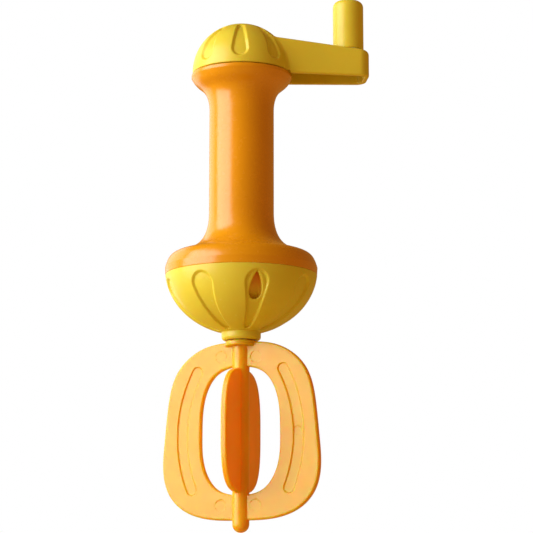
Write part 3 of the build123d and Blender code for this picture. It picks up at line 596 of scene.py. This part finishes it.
def whisk_field(x, y, z):
    """Shaft, journal, ring blade and leaf blade in one moulding."""
    reach = np.hypot(x, y)
    drop = np.minimum(z - TIP_Z - WHISK_SHAFT_RADIUS, 0)
    shaft = np.maximum(np.hypot(reach, drop) - WHISK_SHAFT_RADIUS, z - WHISK_FLANGE_BOTTOM_Z)
    flange = rod(x, y, z, WHISK_FLANGE_RADIUS, WHISK_FLANGE_BOTTOM_Z, WHISK_FLANGE_TOP_Z, WHISK_FLANGE_ROUND)
    journal = rod(x, y, z, JOURNAL_RADIUS, WHISK_FLANGE_BOTTOM_Z, JOURNAL_TOP_Z)
    beside_groove = np.abs(z - CLIP_BOTTOM_Z - CLIP_HEIGHT / 2) - CLIP_HEIGHT / 2
    groove = both(CLIP_GROOVE_RADIUS - reach, beside_groove, 0)
    stub = rod(x, y, z, STUB_RADIUS, JOURNAL_TOP_Z - OVERCUT, STUB_TOP_Z)
    stub = both(stub, np.abs(x) - STUB_FLAT, SHARP_EDGE)
    body = either(shaft, either(ring_blade(x, y, z), leaf_blade(x, y, z), BLADE_FILLET))
    body = either(either(body, flange, BROAD_EDGE), without(journal, groove, SHARP_EDGE), FINE_EDGE)
    return either(body, stub, SHARP_EDGE)


# ---- materials ----------------------------------------------------------------------------------------
DRIFT_SCALE = 40.0                      # patterns, in features to the metre
WAVE_SCALE = 70.0
CLOUD_SCALE = 260.0
GRAIN_SCALE = 2400.0
STEEL_CLOUD_SCALE = 300.0
STEEL_MARK_SCALE = 3000.0
FLOOR_SCALE = 6.0
LIGHT_PATHS = (1.0, 0.08, 0.015)        # how far red, green and blue light go in the plastic, in proportion
SATIN = 0.38                            # roughness
# The next four numbers place the painted shade in the bowl's pockets and inside the bowl.
POCKET_SKIN = 0.965                     # where the painted pocket shade starts, as a part of the bowl's size
POCKET_FLOOR = 0.90                     # and is full here
POCKET_LOW = (-0.50, 0.25)              # height from the bowl's centre, in bowl depths, and strength
POCKET_HIGH = (-0.24, 0.9)


def node(tree, kind, **inputs):
    """Shader node with its inputs set or linked. An underscore in a name stands for a space."""
    made = tree.nodes.new("ShaderNode" + kind)
    for name, value in inputs.items():
        socket = made.inputs[name.replace("_", " ")]
        if isinstance(value, bpy.types.NodeSocket):
            tree.links.new(value, socket)
        else:
            socket.default_value = value
    return made


def spread(tree, value, low, high, to_low, to_high):
    """Value between two limits, mapped to two others."""
    made = node(tree, "MapRange", Value=value, From_Min=low, From_Max=high, To_Min=to_low, To_Max=to_high)
    return made.outputs["Result"]


def noise(tree, place, scale, detail=3.0):
    """Seeded pattern in the object's own space, with this many features to the metre."""
    return node(tree, "TexNoise", Vector=place, Scale=scale, Detail=detail).outputs["Fac"]


def mixed(tree, amount, first, second):
    """Colour between two others."""
    return node(tree, "MixRGB", Fac=amount, Color1=first, Color2=second).outputs["Color"]


def shade(colour, factor=1.0):
    """A colour made lighter or darker, with full opacity."""
    return (*(min(1.0, channel * factor) for channel in colour), 1.0)


def plastic(name, colour, painted_crease_shade, pale, roughness, coat=0.0, grain=0.04, glow=0.0, glow_depth=0.003):
    """Moulded plastic: slow colour drift, painted shade in hollow creases, paler rubbed edges, uneven gloss
    and fine grain.

    The glow is the share of light that goes in, and its depth in metres is how far red light travels.
    """
    material = bpy.data.materials.new(name)
    material.use_nodes = True
    tree = material.node_tree
    surface = tree.nodes["Principled BSDF"]
    place = node(tree, "TexCoord").outputs["Object"]
    pointiness = node(tree, "NewGeometry").outputs["Pointiness"]
    drift = spread(tree, noise(tree, place, DRIFT_SCALE), 0.35, 0.65, 0.0, 1.0)
    cloud = noise(tree, place, CLOUD_SCALE, detail=5.0)
    body = mixed(tree, drift, shade(colour, 0.96), shade(colour, 1.03))
    # Painted shade: hollow creases, where pointiness is low, are darkened towards the crease shade colour.
    crease = spread(tree, pointiness, 0.49, 0.40, 0.0, 0.6)
    body = mixed(tree, crease, body, shade(painted_crease_shade))
    rubbed = spread(tree, pointiness, 0.53, 0.62, 0.0, 0.35)
    rubbed = node(tree, "Math", Value=rubbed)
    rubbed.operation = "MULTIPLY"
    tree.links.new(spread(tree, cloud, 0.35, 0.6, 0.3, 1.0), rubbed.inputs[1])
    body = mixed(tree, rubbed.outputs[0], body, shade(pale))
    fine = noise(tree, place, GRAIN_SCALE, detail=2.0)
    sink = noise(tree, place, WAVE_SCALE, detail=1.0)
    waves = node(tree, "Bump", Strength=0.25, Distance=0.0004, Height=sink)
    texture = node(tree, "Bump", Strength=grain, Distance=0.0002, Height=fine, Normal=waves.outputs["Normal"])
    links = {
        "Base Color": body,
        "Roughness": spread(tree, cloud, 0.3, 0.7, roughness - 0.04, roughness + 0.05),
        "Normal": texture.outputs["Normal"],
    }
    for target, source in links.items():
        tree.links.new(source, surface.inputs[target])
    surface.inputs["IOR"].default_value = 1.5
    surface.inputs["Coat Weight"].default_value = coat
    surface.inputs["Coat Roughness"].default_value = 0.12
    surface.inputs["Subsurface Weight"].default_value = glow
    surface.inputs["Subsurface Radius"].default_value = LIGHT_PATHS
    surface.inputs["Subsurface Scale"].default_value = glow_depth
    return material


def paint_pocket_shade(material, colour):
    """Painted shade: deeper orange well inside the bowl's skin, fading downwards, for the orange shade in its
    pockets.
    """
    tree = material.node_tree
    surface = tree.nodes["Principled BSDF"]
    place = node(tree, "TexCoord").outputs["Object"]
    half_size = [BOWL_RADIUS * MM, BOWL_RADIUS * MM, BOWL_DEPTH * MM]
    centre = (0, 0, -BOWL_CENTRE_Z / BOWL_DEPTH)
    scaled = node(tree, "Mapping", Vector=place, Location=centre, Scale=[1 / half for half in half_size])
    reach = node(tree, "VectorMath", Vector=scaled.outputs["Vector"])
    reach.operation = "LENGTH"
    rise = node(tree, "SeparateXYZ", Vector=scaled.outputs["Vector"]).outputs["Z"]
    low, faint = POCKET_LOW
    high, strong = POCKET_HIGH
    strength = spread(tree, rise, low, high, faint, strong)
    amount = spread(tree, reach.outputs["Value"], POCKET_SKIN, POCKET_FLOOR, 0.0, strength)
    body = mixed(tree, amount, surface.inputs["Base Color"].links[0].from_socket, shade(colour))
    tree.links.new(body, surface.inputs["Base Color"])


def steel(name):
    """Bright turned steel with fine drawn marks."""
    material = bpy.data.materials.new(name)
    material.use_nodes = True
    tree = material.node_tree
    surface = tree.nodes["Principled BSDF"]
    place = node(tree, "TexCoord").outputs["Object"]
    stretched = node(tree, "Mapping", Vector=place, Scale=(1.0, 1.0, 0.08)).outputs["Vector"]
    marks = noise(tree, stretched, STEEL_MARK_SCALE, detail=4.0)
    cloud = noise(tree, place, STEEL_CLOUD_SCALE, detail=4.0)
    body = mixed(tree, cloud, (0.50, 0.50, 0.51, 1.0), (0.66, 0.66, 0.65, 1.0))
    texture = node(tree, "Bump", Strength=0.1, Distance=0.0001, Height=marks)
    tree.links.new(body, surface.inputs["Base Color"])
    tree.links.new(spread(tree, marks, 0.3, 0.7, 0.22, 0.38), surface.inputs["Roughness"])
    tree.links.new(texture.outputs["Normal"], surface.inputs["Normal"])
    surface.inputs["Metallic"].default_value = 1.0
    return material


# The second colour of each plastic is the painted shade for its hollow creases.
YELLOW = plastic(
    "yellow_satin", colour=(0.74, 0.62, 0.045), painted_crease_shade=(0.66, 0.34, 0.008), pale=(0.84, 0.76, 0.18),
    roughness=SATIN, grain=0.05, glow=0.15, glow_depth=0.003,
)
# The bowl's yellow, which also carries the painted pocket shade.
BOWL_YELLOW_POCKET_SHADE = plastic(
    "bowl_yellow_pocket_shade", colour=(0.75, 0.64, 0.05), painted_crease_shade=(0.66, 0.34, 0.008), pale=(0.84, 0.76, 0.18),
    roughness=SATIN, grain=0.05, glow=0.15, glow_depth=0.003,
)
# Painted shade: deep orange-red in the bowl's pockets.
paint_pocket_shade(BOWL_YELLOW_POCKET_SHADE, (0.70, 0.16, 0.004))
ORANGE = plastic(
    "orange_gloss", colour=(0.75, 0.31, 0.004), painted_crease_shade=(0.60, 0.16, 0.002), pale=(0.84, 0.42, 0.04),
    roughness=0.25, coat=0.12,
)
WHISK_ORANGE = plastic(
    "whisk_orange", colour=(0.78, 0.47, 0.014), painted_crease_shade=(0.76, 0.24, 0.004), pale=(0.84, 0.52, 0.05),
    roughness=0.32, glow=0.9, glow_depth=0.012,
)
GEAR_ORANGE = plastic(
    "gear_orange", colour=(0.72, 0.25, 0.006), painted_crease_shade=(0.50, 0.13, 0.002), pale=(0.80, 0.38, 0.04),
    roughness=0.35,
)
ACETAL = plastic(
    "white_acetal", colour=(0.78, 0.77, 0.73), painted_crease_shade=(0.60, 0.58, 0.52), pale=(0.84, 0.84, 0.82),
    roughness=0.42,
)
STEEL = steel("bright_steel")

CAD_MATERIALS = {
    "yellow_satin": YELLOW,
    "orange_gloss": ORANGE,
    "apricot_satin": WHISK_ORANGE,
    "orange_gear": GEAR_ORANGE,
    "white_acetal": ACETAL,
    "steel": STEEL,
}


def dress(thing, material):
    """Put one material in every slot of an object."""
    if not thing.material_slots:
        thing.data.materials.append(material)
    for slot in thing.material_slots:
        slot.material = material


# ---- the visible mouldings ----------------------------------------------------------------------------
bowl_box = (
    (-BOWL_RADIUS, -BOWL_RADIUS, COLLAR_BOTTOM_Z),
    (BOWL_RADIUS, BOWL_RADIUS, SEAM_Z + SPIGOT_HEIGHT),
)
crank_box = (
    (-DOME_RADIUS, -DOME_RADIUS, ARM_BOTTOM_Z),
    (ARM_LENGTH + ARM_END_REACH, DOME_RADIUS, DOME_CENTRE_Z + DOME_RADIUS),
)
knob_box = (
    (ARM_LENGTH - KNOB_RADIUS, -KNOB_RADIUS, KNOB_BOTTOM_Z),
    (ARM_LENGTH + KNOB_RADIUS, KNOB_RADIUS, KNOB_TOP_Z),
)
whisk_box = (
    (-RING_HALF_SPAN, -LEAF_HALF_WIDTH, TIP_Z),
    (RING_HALF_SPAN, LEAF_HALF_WIDTH, STUB_TOP_Z),
)
MOULDINGS = [                           # name, surface, body, CAD node, slot, turn and material
    ("handle_moulding", handle_surface(), "handle", "handle_body", "orange_gloss", 0, ORANGE),
    ("bowl_moulding", skin(bowl_field, *bowl_box), "handle", "bowl_housing", "yellow_satin", 0, BOWL_YELLOW_POCKET_SHADE),
    ("crank_moulding", skin(crank_field, *crank_box), "crank", "crank", "yellow_satin", CRANK_ANGLE, YELLOW),
    ("knob_moulding", skin(knob_field, *knob_box), "knob", "crank_knob", "yellow_satin", CRANK_ANGLE, YELLOW),
    ("whisk_moulding", skin(whisk_field, *whisk_box), "whisk", "whisk", "apricot_satin", 0, WHISK_ORANGE),
]
for name, surface, body, cad_node, slot, turn, material in MOULDINGS:
    dress(piece(name, surface, body, cad_node, turn), material)
for part in frame["record"]["subparts"]:
    dress(frame["nodes"][part["node"]], CAD_MATERIALS[part["material_slot"]])


# ---- camera, light and floor --------------------------------------------------------------------------
CAMERA_AZIMUTH = 24.0
CAMERA_TILT = 10.05
CAMERA_DISTANCE = 919.0
CAMERA_SIDE = 12.1
CAMERA_Z = -214.4
CAMERA_LENS = 131.2
SENSOR_WIDTH = 36.0
FLOOR_Z = -260.0
FLOOR_REACH = 1.5                       # metres, as are the lamps' sizes
FLOOR_GREYS = ((0.28, 0.29, 0.32, 1.0), (0.31, 0.32, 0.35, 1.0))
FLOOR_GLOW = (0.60, 0.62, 0.64, 1.0)
BACKDROP = (1.0, 1.0, 1.0, 1.0)
WARM_BELOW = (0.68, 0.38, 0.08, 1.0)    # the room's light, from below and from above
WARM_ABOVE = (0.22, 0.09, 0.02, 1.0)
LAMP_DISTANCE = 0.9
KEY_SIZE = (0.95, 1.15)
CARD_SIZE = (0.8, 1.0)


def heading(azimuth):
    """Flat direction from the axis towards a place at this azimuth."""
    return Vector((sin(radians(azimuth)), -cos(radians(azimuth)), 0))


def add_camera():
    """Camera a little below the whisk's tip, looking up along the object."""
    data = bpy.data.cameras.new("camera")
    data.lens = CAMERA_LENS
    data.sensor_width = SENSOR_WIDTH
    camera = bpy.data.objects.new("camera", data)
    place = CAMERA_DISTANCE * heading(CAMERA_AZIMUTH) + CAMERA_SIDE * heading(CAMERA_AZIMUTH + 90)
    place.z = CAMERA_Z
    camera.location = place * MM
    camera.rotation_euler = (radians(90 + CAMERA_TILT), 0, radians(CAMERA_AZIMUTH))
    bpy.context.scene.collection.objects.link(camera)
    bpy.context.scene.camera = camera


def soft_box(name, azimuth, elevation, size, radiance):
    """Flat white lamp facing the object, at an azimuth counted from the camera's."""
    width, height = size
    data = bpy.data.lights.new(name, "AREA")
    data.shape = "RECTANGLE"
    data.size = width
    data.size_y = height
    data.energy = radiance * pi * width * height
    lamp = bpy.data.objects.new(name, data)
    flat = heading(CAMERA_AZIMUTH + azimuth) * cos(radians(elevation))
    lamp.location = LAMP_DISTANCE * (flat + Vector((0, 0, sin(radians(elevation)))))
    lamp.rotation_euler = lamp.location.to_track_quat("Z", "Y").to_euler()
    lamp.visible_camera = False
    bpy.context.scene.collection.objects.link(lamp)


def add_surroundings():
    """White backdrop for the camera, and a dim warm room for everything else."""
    world = bpy.data.worlds.new("room")
    world.use_nodes = True
    tree = world.node_tree
    backdrop = tree.nodes["Background"]
    backdrop.inputs["Color"].default_value = BACKDROP
    upward = node(tree, "SeparateXYZ", Vector=node(tree, "TexCoord").outputs["Generated"]).outputs["Z"]
    warmth = spread(tree, upward, -1.0, 1.0, 0.0, 1.0)
    glow = mixed(tree, warmth, WARM_BELOW, WARM_ABOVE)
    room = node(tree, "Background", Color=glow, Strength=1.0)
    seen = node(tree, "LightPath").outputs["Is Camera Ray"]
    choice = node(tree, "MixShader", Fac=seen)
    tree.links.new(room.outputs[0], choice.inputs[1])
    tree.links.new(backdrop.outputs[0], choice.inputs[2])
    tree.links.new(choice.outputs[0], tree.nodes["World Output"].inputs["Surface"])
    bpy.context.scene.world = world


def add_floor():
    """Plain pale floor below the object, which throws no light or reflection on it."""
    mesh = bpy.data.meshes.new("floor")
    corners = [(-1, -1), (1, -1), (1, 1), (-1, 1)]
    places = [(FLOOR_REACH * x, FLOOR_REACH * y, FLOOR_Z * MM) for x, y in corners]
    mesh.from_pydata(places, [], [(0, 1, 2, 3)])
    floor = bpy.data.objects.new("floor", mesh)
    bpy.context.scene.collection.objects.link(floor)
    material = bpy.data.materials.new("pale_floor")
    material.use_nodes = True
    tree = material.node_tree
    place = node(tree, "TexCoord").outputs["Object"]
    surface = tree.nodes["Principled BSDF"]
    body = mixed(tree, noise(tree, place, FLOOR_SCALE), *FLOOR_GREYS)
    tree.links.new(body, surface.inputs["Base Color"])
    surface.inputs["Roughness"].default_value = 0.9
    surface.inputs["Emission Color"].default_value = FLOOR_GLOW
    surface.inputs["Emission Strength"].default_value = 1.0
    mesh.materials.append(material)
    floor.visible_diffuse = False
    floor.visible_glossy = False


add_camera()
soft_box("key_light", azimuth=-66, elevation=14, size=KEY_SIZE, radiance=4.7)
soft_box("side_card", azimuth=-135, elevation=10, size=CARD_SIZE, radiance=1.2)
add_surroundings()
add_floor()
bpy.context.scene.view_settings.view_transform = "Standard"
